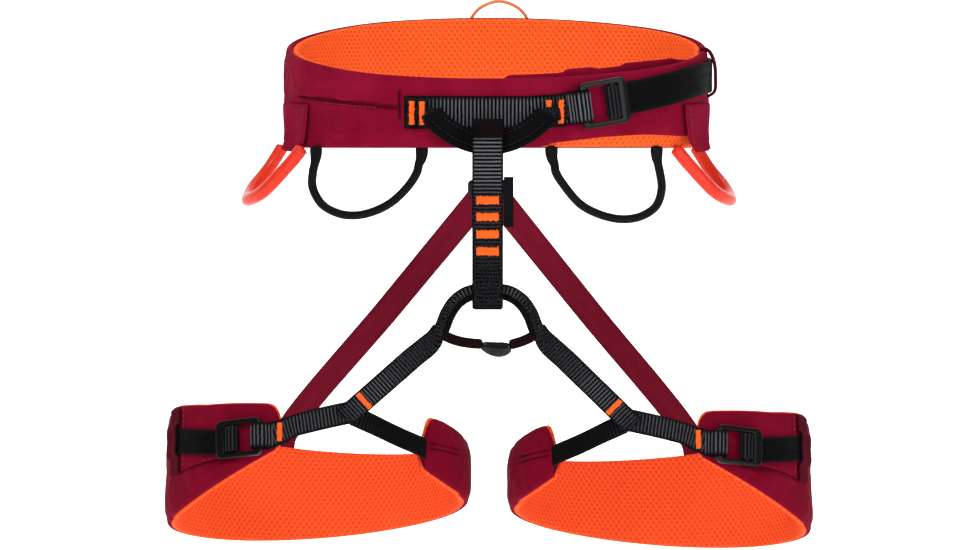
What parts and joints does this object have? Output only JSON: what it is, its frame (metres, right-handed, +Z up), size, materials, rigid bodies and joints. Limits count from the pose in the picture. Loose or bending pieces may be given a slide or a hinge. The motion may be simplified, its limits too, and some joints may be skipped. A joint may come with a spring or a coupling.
{
  "type": "climbing sit harness",
  "caption": "Climbing sit harness with a padded waist belt, two padded leg loops, a belay loop, gear loops and sliding buckles.",
  "frame": {"origin": "centre of the waist opening, where the wearer's waist holds the harness", "axes": "+Z up along the waist, -Y the wearer's front, +X to the right of someone who faces the front"},
  "size_m": [0.395, 0.2209, 0.3456],
  "materials": {
    "shell_maroon": "matte woven shell fabric",
    "mesh_orange": "matte perforated mesh",
    "foam": "closed-cell foam",
    "webbing_black": "ribbed webbing",
    "webbing_smooth": "smooth webbing",
    "thread_orange": "bar tack thread",
    "sleeve_black": "abrasion sleeve",
    "buckle_black": "black anodised",
    "plastic_black": "moulded",
    "plastic_orange": "translucent moulded",
    "riser_maroon": "elastic webbing",
    "cord_orange": "braided cord",
    "label_black": "woven label"
  },
  "bodies": {
    "waist_belt": {"waist_shell": "shell_maroon", "waist_load_tape": "webbing_black", "waist_foam": "foam", "waist_liner": "mesh_orange", "waist_tongue": "shell_maroon", "waist_webbing": "webbing_black", "waist_bar_tacks": "thread_orange", "tie_in_webbing": "webbing_black", "tie_in_sleeve": "sleeve_black", "waist_buckle_frame": "buckle_black", "waist_strap": "webbing_smooth", "waist_strap_keeper": "shell_maroon", "rear_gear_anchor_left": "shell_maroon", "rear_gear_anchor_right": "shell_maroon", "haul_loop_anchor": "shell_maroon", "riser_anchor_strap": "webbing_black", "riser_yoke": "plastic_black"},
    "waist_slider": {"waist_buckle_slider": "buckle_black"},
    "tie_in_link": {"belay_loop": "webbing_black", "belay_bar_tacks": "thread_orange", "leg_tie_in_sleeve": "sleeve_black", "leg_tie_in_webbing": "webbing_black", "retainer_strap_left": "webbing_smooth", "retainer_strap_right": "webbing_smooth", "retainer_hook": "plastic_black", "left_leg_upper_strap": "webbing_black", "right_leg_upper_strap": "webbing_black"},
    "belay_tag": {"belay_tag": "label_black"},
    "haul_loop": {"haul_loop": "cord_orange"},
    "left_leg": {"left_leg_shell": "shell_maroon", "left_leg_foam": "foam", "left_leg_liner": "mesh_orange", "left_leg_front_strap": "webbing_black", "left_leg_inner_strap": "webbing_smooth", "left_leg_adjust_strap": "webbing_smooth", "left_leg_keeper": "shell_maroon", "left_leg_bar_tacks": "thread_orange", "left_leg_buckle_frame": "buckle_black", "riser_left": "riser_maroon", "left_riser_patch": "shell_maroon"},
    "left_leg_slider": {"left_leg_buckle_slider": "buckle_black"},
    "front_gear_left": {"front_gear_loop_left": "plastic_black", "front_gear_tabs_left": "webbing_black"},
    "rear_gear_left": {"rear_gear_loop_left": "plastic_orange"},
    "right_leg": {"right_leg_shell": "shell_maroon", "right_leg_foam": "foam", "right_leg_liner": "mesh_orange", "right_leg_front_strap": "webbing_black", "right_leg_inner_strap": "webbing_smooth", "right_leg_adjust_strap": "webbing_smooth", "right_leg_keeper": "shell_maroon", "right_leg_bar_tacks": "thread_orange", "right_leg_buckle_frame": "buckle_black", "riser_right": "riser_maroon", "right_riser_patch": "shell_maroon"},
    "right_leg_slider": {"right_leg_buckle_slider": "buckle_black"},
    "front_gear_right": {"front_gear_loop_right": "plastic_black", "front_gear_tabs_right": "webbing_black"},
    "rear_gear_right": {"rear_gear_loop_right": "plastic_orange"}
  },
  "joints": [
    {"name": "waist_slider_slide", "type": "slide", "parent": "waist_belt", "child": "waist_slider", "axis": [-0.9126, -0.3821, -0.1452], "range_m": [0, 0.001]},
    {"name": "tie_in_link_swing", "type": "hinge", "parent": "waist_belt", "child": "tie_in_link", "pos_m": [0, -0.1085, -0.0224], "axis": [-1, 0, 0], "range_deg": [-5, 12], "deforming": ["left_leg_upper_strap", "right_leg_upper_strap"]},
    {"name": "belay_tag_flap", "type": "hinge", "parent": "tie_in_link", "child": "belay_tag", "pos_m": [0.0085, -0.11735, -0.0555], "axis": [0, 0, 1], "range_deg": [-60, 60]},
    {"name": "haul_loop_fold", "type": "hinge", "parent": "waist_belt", "child": "haul_loop", "pos_m": [0.0064, 0.0984, 0.0373], "axis": [1, 0, 0], "range_deg": [-150, 5], "stiffness_Nm_per_rad": 0.01},
    {"name": "left_leg_swing", "type": "hinge", "parent": "waist_belt", "child": "left_leg", "pos_m": [-0.0566, -0.097, -0.16], "axis": [-1, 0, 0], "range_deg": [-12, 25], "stiffness_Nm_per_rad": 1.5, "springref_deg": -6.88, "deforming": ["riser_left"]},
    {"name": "left_leg_slider_slide", "type": "slide", "parent": "left_leg", "child": "left_leg_slider", "axis": [0.9136, -0.3748, 0.1575], "range_m": [0, 0.001]},
    {"name": "right_leg_swing", "type": "hinge", "parent": "waist_belt", "child": "right_leg", "pos_m": [0.0566, -0.097, -0.16], "axis": [-1, 0, 0], "range_deg": [-12, 25], "stiffness_Nm_per_rad": 1.5, "springref_deg": -6.88, "deforming": ["riser_right"]},
    {"name": "right_leg_slider_slide", "type": "slide", "parent": "right_leg", "child": "right_leg_slider", "axis": [-0.9136, -0.3748, 0.1575], "range_m": [0, 0.001]},
    {"name": "front_gear_left_swing", "type": "hinge", "parent": "waist_belt", "child": "front_gear_left", "pos_m": [-0.07088, -0.07068, -0.02787], "axis": [-0.888, 0.4592, -0.0245], "range_deg": [-20, 90]},
    {"name": "front_gear_right_swing", "type": "hinge", "parent": "waist_belt", "child": "front_gear_right", "pos_m": [0.06787, -0.07251, -0.02777], "axis": [-0.9004, -0.4345, 0.0232], "range_deg": [-20, 90]},
    {"name": "rear_gear_left_flex", "type": "hinge", "parent": "waist_belt", "child": "rear_gear_left", "pos_m": [-0.12385, -0.01195, -0.0345], "axis": [-0.2364, 0.9701, -0.0551], "range_deg": [-40, 45], "stiffness_Nm_per_rad": 0.08, "springref_deg": 1.15},
    {"name": "rear_gear_right_flex", "type": "hinge", "parent": "waist_belt", "child": "rear_gear_right", "pos_m": [0.12385, -0.01195, -0.0345], "axis": [-0.2364, -0.9701, 0.0551], "range_deg": [-40, 45], "stiffness_Nm_per_rad": 0.08, "springref_deg": 1.15}
  ]
}
